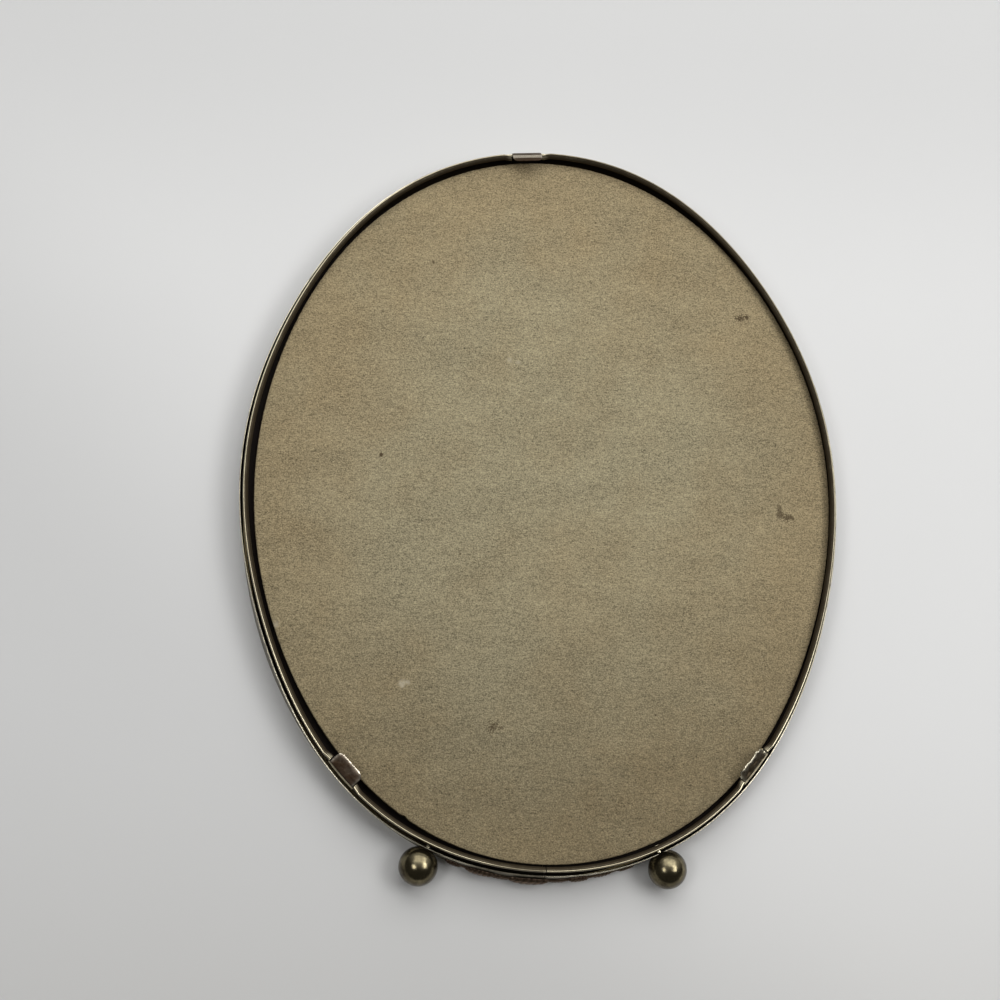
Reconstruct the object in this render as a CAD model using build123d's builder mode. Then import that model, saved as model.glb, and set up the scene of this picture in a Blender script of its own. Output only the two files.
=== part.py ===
from build123d import *

import os
from math import atan2, cos, degrees, radians, sin, sqrt

# Oval metal picture frame, lying on its face. Its front is the plane Z = 0, its back looks up
# along +Z, and +Y points to the picture's top. The origin is under the middle of the whole
# outline, on the front plane.

os.makedirs("parts", exist_ok=True)

# Picture: an oval board of the size that the frame is sold for
board_width = 200.0
board_height = 252.0
board_thickness = 2.2
card_thickness = 0.4
glass_thickness = 2.0
glass_bevel = 0.3

# Back rim: thin strip with a front lip and a folded back edge that slopes inward
rim_sheet = 0.5
hem_width = 1.8
hem_height = 1.3
hem_slope_width = 1.0
hem_slope_height = 0.7
hem_bevel = 0.25
board_gap = 0.4
recess_depth = 4.0
lip_overlap = 8.5
seam_gap = 0.3

# Outer band round the rim
band_gap = 0.75
band_sheet = 0.5
band_depth = 9.0
band_bevel = 0.3

# Pierced front border, its cove and the wire at the sight edge
border_sheet = 0.6
face_depth = 3.2
sight_overlap = 9.0
cove_width = 2.2
cove_steps = 3
flange_width = 1.8
bead_width = 1.6
bead_height = 1.1
bead_bevel = 0.5
repeat_count = 36
leaf_length_share = 0.36
leaf_width_share = 0.32
leaf_spread_share = 0.2
leaf_tilt = 38.0
pearl_size_share = 0.28
pearl_sides = 8
pearl_reach_share = 0.2
drop_length_share = 0.5
drop_width_share = 0.22

# Tabs that fold over the board, cut and bent by hand, so each has its own place and width
tab_length = 5.0
tab_sheet = 0.5
tab_corner = 1.5
tab_drop = 1.2
tab_root_gap = 0.25
tab_clearance = 0.4
tab_top_angle = 183.9
tab_top_width = 10.6
tab_top_lift = 37.0
tab_left_angle = -40.7
tab_left_width = 11.0
tab_left_lift = 22.0
tab_right_angle = 43.7
tab_right_width = 12.4
tab_right_lift = 24.0

# How far a cut starts outside what it cuts
cut_overrun = 1.0

# Ball feet and the screws that hold them
foot_diameter = 12.7
foot_lift = 0.05
foot_flat = 0.45
foot_angle = 21.7
screw_diameter = 2.0
screw_clearance = 0.1
screw_seat = 0.1
screw_head_diameter = 3.6
screw_head_height = 0.7
screw_head_taper = 25.0
screw_reach = 4.5

# Leaf garland between the feet: angle from the bottom, then length, half width, how far the
# leaf stands out and its height above the front, each as a share of the garland's own sizes
garland_length = 14.0
garland_half_width = 3.0
garland_relief = 1.6
garland_tip = 0.25
garland_height = 6.8
stem_sheet = 0.6
stem_width = 1.6
stem_angle = 17.5
leaf_shares = [
    # angle, length, half width, relief, height, tilt
    (-2.6, 1.00, 1.00, 1.00, 0.52, 4.0),
    (-8.0, 0.62, 0.70, 0.60, 0.34, -14.0),
    (-11.6, 0.74, 0.80, 0.85, 0.56, 12.0),
    (-16.4, 0.44, 0.56, 0.62, 0.42, -10.0),
    (2.9, 0.46, 0.60, 0.55, 0.36, 16.0),
    (6.6, 0.56, 0.72, 0.78, 0.58, -12.0),
    (11.0, 0.54, 0.66, 0.62, 0.38, 14.0),
    (15.4, 0.48, 0.58, 0.70, 0.54, -10.0),
]

# Stations outward from the board's edge
hem_inside = board_gap
wall_outside = hem_inside + hem_width
wall_inside = wall_outside - rim_sheet
band_inside = wall_outside + band_gap
band_outside = band_inside + band_sheet
cove_outside = -(sight_overlap - flange_width - cove_width)
cove_inside = -(sight_overlap - flange_width)
gallery_width = band_inside - cove_outside - border_sheet
gallery_middle = (band_inside + cove_outside + border_sheet) / 2

# Heights above the front plane
flange_front = face_depth - border_sheet
lip_back = face_depth + rim_sheet
glass_back = lip_back + glass_thickness
card_back = glass_back + card_thickness
board_back = card_back + board_thickness
rim_back = board_back + recess_depth
hem_front = rim_back - hem_height
tab_height = rim_back - tab_drop
foot_radius = foot_diameter / 2
foot_height = foot_radius + foot_lift
foot_reach = foot_radius - foot_flat


def half_sizes(offset):
    """The oval's half width and half height, this far outside the board's edge."""
    return board_width / 2 + offset, board_height / 2 + offset


def outward(angle, offset):
    """The direction square to the oval, at an angle counted from its bottom."""
    half_width, half_height = half_sizes(offset)
    across = sin(radians(angle)) / half_width
    down = -cos(radians(angle)) / half_height
    size = sqrt(across**2 + down**2)
    return Vector(across / size, down / size, 0)


def foot_bottom():
    """How far below the oval's middle a foot reaches when the frame stands."""
    half_height = half_sizes(band_outside)[1]
    seat = half_height * cos(radians(foot_angle))
    return seat - outward(foot_angle, band_outside).Y * foot_reach + foot_radius


# The oval sits above the origin by half of what the feet add below it
oval_y = (foot_bottom() - half_sizes(band_outside)[1]) / 2


def level(height):
    """The plane across the frame at a height above its front."""
    return Plane.XY.offset(height).shift_origin((0, oval_y, height))


def rim_plane(angle, offset, height):
    """A plane on the oval: X along the rim, Y up, Z outward."""
    half_width, half_height = half_sizes(offset)
    normal = outward(angle, offset)
    place = Vector(half_width * sin(radians(angle)), oval_y - half_height * cos(radians(angle)), height)
    return Plane(origin=place, x_dir=Vector(-normal.Y, normal.X, 0), z_dir=normal)


def ring(outer, inner):
    """An oval ring between two offsets, in the sketch that is open."""
    Ellipse(*half_sizes(outer))
    Ellipse(*half_sizes(inner), mode=Mode.SUBTRACT)


def leaf(length, width):
    """A leaf with two pointed ends, along X."""
    with BuildSketch(mode=Mode.PRIVATE) as outline:
        with BuildLine():
            ThreePointArc((-length / 2, 0), (0, width / 2), (length / 2, 0))
            ThreePointArc((length / 2, 0), (0, -width / 2), (-length / 2, 0))
        make_face()
    return outline.sketch


def stations(offset, count, first=0.0):
    """Evenly spaced places along the oval, each turned to follow it."""
    path = Edge.make_ellipse(*half_sizes(offset))
    places = []
    for index in range(count):
        share = ((index + first) / count) % 1
        along = path % share
        places.append(Location(path @ share, (0, 0, degrees(atan2(along.Y, along.X)))))
    return places


tabs = {
    "tab_top": (tab_top_angle, tab_top_width, tab_top_lift),
    "tab_left": (tab_left_angle, tab_left_width, tab_left_lift),
    "tab_right": (tab_right_angle, tab_right_width, tab_right_lift),
}
seats = {
    "left": rim_plane(-foot_angle, band_outside, foot_height),
    "right": rim_plane(foot_angle, band_outside, foot_height),
}

# Back rim
with BuildPart() as back_rim:
    with BuildSketch(level(face_depth)):
        ring(wall_outside, -lip_overlap)
    extrude(amount=rim_sheet)
    with BuildSketch(level(face_depth)):
        ring(wall_outside, wall_inside)
    extrude(amount=rim_back - face_depth)
    with BuildSketch(level(hem_front)):
        ring(wall_outside, hem_inside)
    extrude(amount=hem_height)
    back_edges = back_rim.faces().sort_by(Axis.Z)[-1].edges().sort_by(SortBy.LENGTH)
    chamfer(back_edges[0], hem_slope_width, hem_slope_height)
    chamfer(back_edges[-1], hem_bevel)
    slit_floor = tab_height - tab_sheet / 2 - tab_root_gap
    for angle, width, _ in tabs.values():
        with BuildSketch(rim_plane(angle, wall_inside, slit_floor)):
            Rectangle(width + 2 * tab_clearance, rim_back - slit_floor, align=(Align.CENTER, Align.MIN))
        extrude(amount=hem_width, both=True, mode=Mode.SUBTRACT)
    with BuildSketch(rim_plane(0, -lip_overlap, face_depth)):
        Rectangle(seam_gap, rim_back - face_depth, align=(Align.CENTER, Align.MIN))
    extrude(amount=wall_outside + lip_overlap, both=True, mode=Mode.SUBTRACT)
    for seat in seats.values():
        with BuildSketch(seat.offset(cut_overrun)):
            Circle(screw_diameter / 2 + screw_clearance)
        extrude(amount=-(cut_overrun + band_outside - hem_inside), mode=Mode.SUBTRACT)
back_rim.part.label = "back_rim"
export_step(back_rim.part, "parts/back_rim.step")

# Outer band
with BuildPart() as outer_band:
    with BuildSketch(level(0)):
        ring(band_outside, band_inside)
    extrude(amount=band_depth)
    front_edges = outer_band.faces().sort_by(Axis.Z)[0].edges()
    chamfer(front_edges.sort_by(SortBy.LENGTH)[-1], band_bevel)
    with BuildSketch(rim_plane(0, band_inside, 0)):
        Rectangle(seam_gap, band_depth, align=(Align.CENTER, Align.MIN))
    extrude(amount=band_sheet, both=True, mode=Mode.SUBTRACT)
    for seat in seats.values():
        with BuildSketch(seat.offset(cut_overrun)):
            Circle(screw_diameter / 2 + screw_clearance)
        extrude(amount=-(cut_overrun + band_outside - hem_inside), mode=Mode.SUBTRACT)
outer_band.part.label = "outer_band"
export_step(outer_band.part, "parts/outer_band.step")

# Front border: a rounded cove down to the flange round the opening, and a pierced face
pitch = Edge.make_ellipse(*half_sizes(gallery_middle)).length / repeat_count
scroll_leaf = leaf(leaf_length_share * pitch, leaf_width_share * leaf_length_share * pitch)
drop = leaf(drop_length_share * gallery_width, drop_width_share * gallery_width)
scrolls = [
    place * Location((side * leaf_spread_share * pitch, 0), (0, 0, -side * leaf_tilt))
    for place in stations(gallery_middle, repeat_count)
    for side in (-1, 1)
]
pearls = [
    place * Location((0, -pearl_reach_share * gallery_width))
    for place in stations(gallery_middle, repeat_count)
]
drops = [
    place * Location((0, 0), (0, 0, 90))
    for place in stations(gallery_middle, repeat_count, first=0.5)
]
with BuildPart() as front_border:
    for sheet, mode in ((border_sheet, Mode.ADD), (0, Mode.SUBTRACT)):
        for step in range(cove_steps + 1):
            turn = radians(90 * step / cove_steps)
            with BuildSketch(level(sheet + flange_front * sin(turn))):
                Ellipse(*half_sizes(cove_inside + sheet + cove_width * cos(turn)))
        loft(ruled=True, mode=mode)
    with BuildSketch(level(0)):
        Ellipse(*half_sizes(-sight_overlap))
    extrude(amount=face_depth, mode=Mode.SUBTRACT)
    with BuildSketch(level(0)):
        ring(band_inside, cove_outside)
        with Locations(scrolls):
            add(scroll_leaf, mode=Mode.SUBTRACT)
        with Locations(pearls):
            RegularPolygon(pearl_size_share * gallery_width / 2, pearl_sides, mode=Mode.SUBTRACT)
        with Locations(drops):
            add(drop, mode=Mode.SUBTRACT)
    extrude(amount=border_sheet)
front_border.part.label = "front_border"
export_step(front_border.part, "parts/front_border.step")

# Bevelled wire, seated on the flange with its flat side
bead_front = flange_front - bead_height
bead_sides = (
    (bead_width - sight_overlap, -bead_bevel, Mode.ADD),
    (-sight_overlap, bead_bevel, Mode.SUBTRACT),
)
with BuildPart() as sight_bead:
    for side, bevel, mode in bead_sides:
        for height, inset in ((bead_front, bevel), (bead_front + bead_bevel, 0), (flange_front, 0)):
            with BuildSketch(level(height)):
                Ellipse(*half_sizes(side + inset))
        loft(ruled=True, mode=mode)
sight_bead.part.label = "sight_bead"
export_step(sight_bead.part, "parts/sight_bead.step")

# Glass, picture card and backing board, each lying on the one before
with BuildPart() as glass:
    with BuildSketch(level(lip_back)):
        Ellipse(*half_sizes(0))
    extrude(amount=glass_thickness)
    chamfer(glass.faces().sort_by(Axis.Z)[-1].edges(), glass_bevel)
glass.part.label = "glass"
export_step(glass.part, "parts/glass.step")

with BuildPart() as picture_card:
    with BuildSketch(level(glass_back)):
        Ellipse(*half_sizes(0))
    extrude(amount=card_thickness)
picture_card.part.label = "picture_card"
export_step(picture_card.part, "parts/picture_card.step")

with BuildPart() as backing_board:
    with BuildSketch(level(card_back)):
        Ellipse(*half_sizes(0))
    extrude(amount=board_thickness)
backing_board.part.label = "backing_board"
export_step(backing_board.part, "parts/backing_board.step")

# Tabs, each with a round root just over the floor of its slit and a leaf that stands over the board
for name, (angle, width, lift) in tabs.items():
    root = rim_plane(angle, wall_inside + rim_sheet / 2, tab_height)
    inward = Vector(0, 0, sin(radians(lift))) - root.z_dir * cos(radians(lift))
    blade = Plane(origin=root.origin, x_dir=root.x_dir, z_dir=root.x_dir.cross(inward))
    with BuildPart() as tab:
        with BuildSketch(blade):
            with BuildLine():
                FilletPolyline(
                    (-width / 2, 0),
                    (-width / 2, tab_length),
                    (width / 2, tab_length),
                    (width / 2, 0),
                    radius=tab_corner,
                )
                Line((width / 2, 0), (-width / 2, 0))
            make_face()
        extrude(amount=tab_sheet / 2, both=True)
        with BuildSketch(Plane(origin=root.origin, x_dir=root.z_dir, z_dir=root.x_dir)):
            Circle(tab_sheet / 2)
        extrude(amount=width / 2, both=True)
    tab.part.label = name
    export_step(tab.part, f"parts/{name}.step")

# Ball feet, each with a small flat against the band and a bore for its screw, and the screws
for side, seat in seats.items():
    with BuildPart(seat.offset(foot_reach)) as foot:
        Sphere(foot_radius)
        split(bisect_by=seat, keep=Keep.TOP)
        with BuildSketch(seat):
            Circle(screw_diameter / 2 + screw_clearance)
        extrude(amount=screw_reach + screw_clearance, mode=Mode.SUBTRACT)
    foot.part.label = f"foot_{side}"
    export_step(foot.part, f"parts/foot_{side}.step")

    shank = band_outside - wall_inside + screw_seat + screw_reach
    with BuildPart() as screw:
        with BuildSketch(seat.offset(screw_reach - shank)):
            Circle(screw_diameter / 2)
        extrude(amount=shank)
        with BuildSketch(seat.offset(screw_reach - shank)):
            Circle(screw_head_diameter / 2)
        extrude(amount=-screw_head_height, taper=screw_head_taper)
    screw.part.label = f"foot_screw_{side}"
    export_step(screw.part, f"parts/foot_screw_{side}.step")

# Leaf garland on the band: a stem, and leaves with their lower half cut off by the band
with BuildPart() as bottom_garland:
    stem_half = half_sizes(band_outside)[0] * sin(radians(stem_angle))
    with BuildSketch(level((garland_height - stem_width) / 2)):
        ring(band_outside + stem_sheet, band_outside - stem_sheet)
        with Locations((0, -board_height / 2)):
            Rectangle(2 * stem_half, board_height, mode=Mode.INTERSECT)
    extrude(amount=stem_width)
    for angle, length, width, relief, height, tilt in leaf_shares:
        radius = width * garland_half_width
        sink = radius - relief * garland_relief
        spine = rim_plane(angle, band_outside - sink, height * garland_height).rotated((0, 0, tilt))
        half_length = length * garland_length / 2
        with BuildSketch(spine):
            with BuildLine():
                Line((-half_length, 0), (-half_length, garland_tip))
                ThreePointArc((-half_length, garland_tip), (0, radius), (half_length, garland_tip))
                Line((half_length, garland_tip), (half_length, 0))
                Line((half_length, 0), (-half_length, 0))
            make_face()
        revolve(axis=Axis(spine.origin, spine.x_dir))
    with BuildSketch(level(0)):
        Ellipse(*half_sizes(band_outside))
    extrude(amount=band_depth, mode=Mode.SUBTRACT)
bottom_garland.part.label = "bottom_garland"
export_step(bottom_garland.part, "parts/bottom_garland.step")
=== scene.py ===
# Oval brass picture frame on two ball feet, lying on its face so that its back shows.
import math

import bmesh
import bpy
from mathutils import Matrix, Vector, noise


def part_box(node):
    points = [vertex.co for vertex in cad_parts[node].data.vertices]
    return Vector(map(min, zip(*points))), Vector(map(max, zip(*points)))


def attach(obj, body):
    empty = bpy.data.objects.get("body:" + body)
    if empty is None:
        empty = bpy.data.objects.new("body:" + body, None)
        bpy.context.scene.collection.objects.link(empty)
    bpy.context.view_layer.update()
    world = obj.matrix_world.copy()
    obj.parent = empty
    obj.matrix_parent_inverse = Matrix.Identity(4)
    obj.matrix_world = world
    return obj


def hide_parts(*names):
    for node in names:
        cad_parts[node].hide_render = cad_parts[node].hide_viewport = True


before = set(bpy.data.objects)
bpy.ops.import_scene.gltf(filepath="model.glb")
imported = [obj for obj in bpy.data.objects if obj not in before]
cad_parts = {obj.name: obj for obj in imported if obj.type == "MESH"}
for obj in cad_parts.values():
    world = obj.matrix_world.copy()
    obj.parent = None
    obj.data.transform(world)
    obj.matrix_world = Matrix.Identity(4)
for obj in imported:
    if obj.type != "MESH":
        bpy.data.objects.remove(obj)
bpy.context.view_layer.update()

mm = 0.001
fullTurn = 2 * math.pi

boardLow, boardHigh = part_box("backing_board")
oval = {
    "halfWidth": (boardHigh[0] - boardLow[0]) / 2 / mm,
    "halfHeight": (boardHigh[1] - boardLow[1]) / 2 / mm,
    "middle": (boardHigh[1] + boardLow[1]) / 2 / mm,
    "boardBack": boardHigh[2] / mm,
    # how the thin strip has gone out of true: waves round the oval, size in mm, turn in degrees
    "waves": [(3, 0.154, 107), (4, 0.152, 141), (5, 0.40, -179), (6, 0.42, -174), (7, 0.186, 47)],
}


def ovalPoint(turn, out, height):
    # a point of the oval, in metres: turn in radians from the bottom, out and height in mm
    x = (oval["halfWidth"] + out) * math.sin(turn)
    y = oval["middle"] - (oval["halfHeight"] + out) * math.cos(turn)
    return Vector((x, y, height)) * mm


def outwardAt(turn, out):
    # the direction straight out of the oval there
    across = math.sin(turn) / (oval["halfWidth"] + out)
    down = -math.cos(turn) / (oval["halfHeight"] + out)
    return Vector((across, down, 0)).normalized()


def mmPerTurn(turn, out=2.0):
    # how many mm of the oval one radian of turn passes
    across = (oval["halfWidth"] + out) * math.cos(turn)
    return math.hypot(across, (oval["halfHeight"] + out) * math.sin(turn))


def waveAt(turn, waves):
    return sum(size * math.cos(order * turn - math.radians(phase)) for order, size, phase in waves)


def ease(low, high, value):
    # 0 below low, 1 above high, smooth between
    share = min(1.0, max(0.0, (value - low) / (high - low)))
    return share * share * (3 - 2 * share)


def addObject(name, data):
    made = bpy.data.objects.new(name, data)
    bpy.context.collection.objects.link(made)
    return made


# the camera looks nearly straight down, from above the frame's bottom edge: degrees, mm, and the
# focal length in pixels
view = {
    "turn": -21.95, "tilt": 16.76, "roll": 0.42, "distance": 549.0, "aim": (-15.40, -2.68),
    "focal": 1600.0, "pixels": 1000, "sensor": 36, "nearest": 10,
}


def addCamera():
    turn, tilt, roll = (math.radians(view[key]) for key in ("turn", "tilt", "roll"))
    level = math.sin(tilt)
    back = Vector((level * math.sin(turn), -level * math.cos(turn), math.cos(tilt)))
    across = Vector((0, 1, 0)).cross(back).normalized()
    upward = back.cross(across)
    right = across * math.cos(roll) + upward * math.sin(roll)
    up = upward * math.cos(roll) - across * math.sin(roll)
    aim = Vector((view["aim"][0], view["aim"][1] + oval["middle"], oval["boardBack"]))
    camera = addObject("photoCamera", bpy.data.cameras.new("photoCamera"))
    camera.data.sensor_width = view["sensor"]
    camera.data.lens = view["focal"] * view["sensor"] / view["pixels"]
    camera.data.clip_start = view["nearest"] * mm
    axes = Matrix((right, up, back)).transposed().to_4x4()
    camera.matrix_world = Matrix.Translation((aim + back * view["distance"]) * mm) @ axes
    bpy.context.scene.camera = camera


addCamera()
print("camera placed")


class Signal:
    # one shader value; Python's operators on it add the Math nodes
    def __init__(self, bench, socket):
        self.bench, self.socket = bench, socket

    def math(self, operation, *others):
        given = dict(enumerate((self, *others)))
        return self.bench.node("ShaderNodeMath", given, operation=operation)

    def __add__(self, other): return self.math("ADD", other)
    def __radd__(self, other): return self.math("ADD", other)
    def __sub__(self, other): return self.math("SUBTRACT", other)
    def __mul__(self, other): return self.math("MULTIPLY", other)
    def __rmul__(self, other): return self.math("MULTIPLY", other)
    def __truediv__(self, other): return self.math("DIVIDE", other)

    def __rsub__(self, other):
        return self.bench.node("ShaderNodeMath", {0: other, 1: self}, operation="SUBTRACT")

    def limit(self):
        return self.math("MAXIMUM", 0.0).math("MINIMUM", 1.0)

    def rise(self, low, high):
        # 0 below low, 1 above high, smooth between
        inputs = {"Value": self, "From Min": low, "From Max": high}
        return self.bench.node("ShaderNodeMapRange", inputs, interpolation_type="SMOOTHSTEP")

    def fall(self, low, high):
        return 1.0 - self.rise(low, high)


class NodeBench:
    # a node tree: node() adds any node, and what it returns can be used in expressions
    def __init__(self, tree):
        self.tree = tree

    def node(self, kind, inputs=None, out=0, **settings):
        made = self.tree.nodes.new(kind)
        for key, setting in settings.items():
            setattr(made, key, setting)
        for key, given in (inputs or {}).items():
            if isinstance(given, Signal):
                self.tree.links.new(given.socket, made.inputs[key])
            else:
                made.inputs[key].default_value = given
        return Signal(self, made.outputs[out])

    def vector(self, operation, first, second=(0, 0, 0), out="Vector"):
        return self.node("ShaderNodeVectorMath", {0: first, 1: second}, out, operation=operation)

    def mix(self, share, first, second):
        first, second = (c if isinstance(c, Signal) else (*c, 1.0) for c in (first, second))
        return self.node("ShaderNodeMix", {0: share, 6: first, 7: second}, out=2, data_type="RGBA")


class Finish(NodeBench):
    # a material, with its constants set on the shader's own sockets
    def __init__(self, name, **fixed):
        self.material = bpy.data.materials.new(name)
        self.material.use_nodes = True
        super().__init__(self.material.node_tree)
        self.shader = self.tree.nodes["Principled BSDF"]
        for key, setting in fixed.items():
            self.shader.inputs[key.replace("_", " ")].default_value = setting
        self.here = self.node("ShaderNodeTexCoord", out="Object")

    def noise(self, scale, detail, rough, place=None):
        place = place or self.here
        inputs = {"Vector": place, "Scale": scale, "Detail": detail, "Roughness": rough}
        return self.node("ShaderNodeTexNoise", inputs)

    def stretch(self, scale, turn=0.0, move=(0, 0, 0)):
        turned = (0, 0, math.radians(turn))
        inputs = {"Vector": self.here, "Scale": scale, "Rotation": turned, "Location": move}
        return self.node("ShaderNodeMapping", inputs)

    def own(self, name):
        return self.node("ShaderNodeAttribute", out="Fac", attribute_name=name)

    def brighten(self, color, gain):
        # a colour times a value that may pass 1
        pack = self.node("ShaderNodeCombineXYZ", {0: gain, 1: gain, 2: gain})
        return self.vector("MULTIPLY", color, pack)

    def bump(self, height, depth, strength):
        inputs = {"Height": height, "Distance": depth, "Strength": strength}
        return self.node("ShaderNodeBump", inputs)

    def feed(self, **outputs):
        for key, given in outputs.items():
            self.tree.links.new(given.socket, self.shader.inputs[key.replace("_", " ")])
        return self.material


def chipboardFinish():
    # grey-brown board: pressed fibres, specks, and a few stains at their own places
    chip = {
        "grey": (0.325, 0.283, 0.178), "brown": (0.292, 0.232, 0.133), "pale": (0.50, 0.45, 0.33),
        "dark": (0.075, 0.052, 0.028), "bleached": (0.60, 0.53, 0.40),
        # painted shade and light: how much darker the bottom is and lighter the top, and the heights
        # where each fades
        "low": (0.74, -10, -118), "high": (1.09, -10, 100),
        # patterns that are longer one way: scale along x, y, z; the fibres lie at these turns
        "fibre": (1100, 3000, 900), "fibreTurns": (8, 52, -31, 96),
        "streak": (320, 2400, 900), "mottle": (34, 90, 30),
        # how strongly each pattern shows in the tone
        "shows": {"grain": 1.8, "coarse": 0.25, "fibre": 0.4, "streak": 0.55, "mottle": 0.42,
                  "cloud": 0.14, "paleFibre": 0.35, "speck": 0.75, "edge": 0.12},
        # specks: cells per metre, share of them without one, size of the others
        "cells": 105.0, "without": 0.62, "speckSize": 0.13,
        "stains": [  # x, y from the oval's middle in mm, size in mm, how dark (below zero: paler)
            (83.4, -4.4, 2.0, 0.7), (85.6, -5.6, 1.9, 0.8), (87.4, -5.2, 1.3, 0.7),
            (83.0, -1.6, 1.3, 0.65), (70.4, 68.7, 1.4, 0.75), (72.0, 68.9, 1.6, 0.9),
            (73.6, 69.1, 1.4, 0.9), (-56.3, 11.8, 0.9, 0.95), (-17.2, -80.5, 2.2, 0.8),
            (-14.6, -80.9, 1.3, 0.65), (60.3, -73.8, 1.3, 0.5), (-47.5, -66.7, 1.7, -0.5),
            (-45.6, -66.3, 0.9, -0.4), (-40.0, 84.3, 0.7, 0.7), (-12.2, 48.6, 1.2, -0.35),
            (-9.4, 47.8, 1.0, -0.3), (-89.6, -48.2, 1.5, -0.4),
        ],
    }
    shows = chip["shows"]
    finish = Finish("chipboard", Roughness=0.92, Specular_IOR_Level=0.2)
    here = finish.here
    fromMiddle = finish.vector("SUBTRACT", here, (0, oval["middle"] * mm, 0))
    shrink = (1 / (oval["halfWidth"] * mm), 1 / (oval["halfHeight"] * mm), 0)
    radial = finish.vector("LENGTH", finish.vector("MULTIPLY", fromMiddle, shrink), out="Value")
    upDown = finish.node("ShaderNodeSeparateXYZ", {0: fromMiddle}, out="Y")
    cloud, drift = finish.noise(14, 3, 0.6), finish.noise(55, 3, 0.6)
    tone = radial.rise(0.4, 1.05) * 0.8 + cloud.rise(0.35, 0.7) * 0.4 + drift.rise(0.4, 0.75) * 0.2
    color = finish.mix(tone.limit(), chip["grey"], chip["brown"])
    # painted shade towards the bottom and painted light towards the top of the board
    bottomShade, fadeTop, foot = chip["low"]
    lift, fadeLow, crown = chip["high"]
    paintedShade = bottomShade + upDown.rise(foot * mm, fadeTop * mm) * (1 - bottomShade)
    paintedShade = paintedShade + upDown.rise(fadeLow * mm, crown * mm) * (lift - 1)
    grain, coarse = finish.noise(2200, 1, 0.5), finish.noise(800, 1, 0.5)
    fibres = [
        finish.noise(1.0, 1, 0.5, finish.stretch(chip["fibre"], turn, move=(turn, 2 * turn, 0)))
        for turn in chip["fibreTurns"]
    ]
    streaks = finish.noise(1.0, 2, 0.5, finish.stretch(chip["streak"]))
    mottle = finish.noise(1.0, 3, 0.6, finish.stretch(chip["mottle"]))
    weave = (grain - 0.5) * shows["grain"] + (coarse - 0.5) * shows["coarse"]
    weave = weave + sum((fibre - 0.5 for fibre in fibres), 0.0) * shows["fibre"]
    weave = weave + (streaks - 0.5) * shows["streak"] + (mottle - 0.5) * shows["mottle"]
    color = finish.brighten(color, (1.0 + weave + (cloud - 0.5) * shows["cloud"]) * paintedShade)
    palest = fibres[0].rise(0.70, 0.82) + fibres[2].rise(0.70, 0.82)
    color = finish.mix(palest * shows["paleFibre"], color, chip["pale"])
    wander = finish.noise(500, 3, 0.7)
    cells = {"Vector": here, "Scale": chip["cells"], "Randomness": 1.0}
    chance = finish.node("ShaderNodeTexVoronoi", cells, out="Color")
    chance = finish.node("ShaderNodeSeparateColor", {0: chance})
    reach = (chance - chip["without"]).math("MAXIMUM", 0.0) * chip["speckSize"]
    reach = reach + wander * 0.02 - 0.02
    specks = (finish.node("ShaderNodeTexVoronoi", cells, out="Distance") - reach).fall(0.0, 0.012)
    color = finish.mix(specks * shows["speck"], color, chip["dark"])
    for x, y, size, dark in chip["stains"]:
        spot = (x * mm, (y + oval["middle"]) * mm, oval["boardBack"] * mm)
        away = finish.vector("DISTANCE", here, spot, out="Value")
        ragged = (wander - 0.5) * 2.0 + (grain - 0.5) * 1.2
        stain = (away / (size * mm) + ragged).fall(0.3, 1.05)
        color = finish.mix(stain * abs(dark), color, chip["dark" if dark > 0 else "bleached"])
    edge = (radial + (wander - 0.5) * 0.012).rise(0.975, 1.0)
    color = finish.mix(edge * shows["edge"], color, chip["dark"])
    dents = finish.bump(grain + coarse * 0.4 + fibres[0] * 0.4, 0.00012, 0.8)
    return finish.feed(Base_Color=color, Normal=dents)


def brassFinish(name, bright, patina, rough, spots, pits, crust=0.2, tint=None):
    # aged brass: a dull patina gathers where the piece's own tarnish-and-shade value is high; over 1
    # it turns near black, partly soot and partly painted shade in the gaps and on shaded sides; "worn"
    # edges shine; crust: how far the patina has lost its metal sheen
    finish = Finish(name)
    sootAndShadeColor, smoothest = (0.016, 0.008, 0.004), 0.08
    worn, tarnish = finish.own("worn"), finish.own("tarnish")
    patch, freckle = finish.noise(240, 4, 0.65), finish.noise(1500, 3, 0.7)
    along = finish.noise(1.0, 3, 0.6, finish.stretch((60, 60, 1900)))
    blotch = (patch - 0.5) * 1.3 * spots
    dirtAndShade = tarnish * 0.85 + blotch + (freckle - 0.5) * 0.7 * spots - worn * 0.6
    dirtAndShade, sootAndShade = dirtAndShade.limit(), (tarnish - 1.0).limit()
    color = finish.mix(dirtAndShade, bright, patina)
    if tint:
        color = finish.mix(patch.rise(0.5, 0.72) * 0.6, color, tint)
    # near black where the value passes 1: partly soot, partly painted shade in the gaps
    color = finish.mix(sootAndShade, color, sootAndShadeColor)
    low, high = rough
    gloss = low + (high - low) * (dirtAndShade * 0.8 + (along - 0.5) * 0.5) + sootAndShade * 0.3
    gloss = gloss.math("MAXIMUM", smoothest)
    metal = 1.0 - dirtAndShade * crust - sootAndShade * 0.5
    dents = finish.bump(patch * 0.4 + freckle * 0.5 + along * 0.3, 0.00005, pits)
    return finish.feed(Base_Color=color, Roughness=gloss, Metallic=metal, Normal=dents)


def cardFinish():
    finish = Finish("creamCard", Roughness=0.85, Specular_IOR_Level=0.2)
    grain = finish.noise(900, 3, 0.6)
    cream = finish.mix(finish.noise(20, 3, 0.6), (0.80, 0.77, 0.69), (0.74, 0.70, 0.60))
    color, dents = finish.brighten(cream, 0.94 + grain * 0.12), finish.bump(grain, 0.00003, 0.5)
    return finish.feed(Base_Color=color, Normal=dents)


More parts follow.
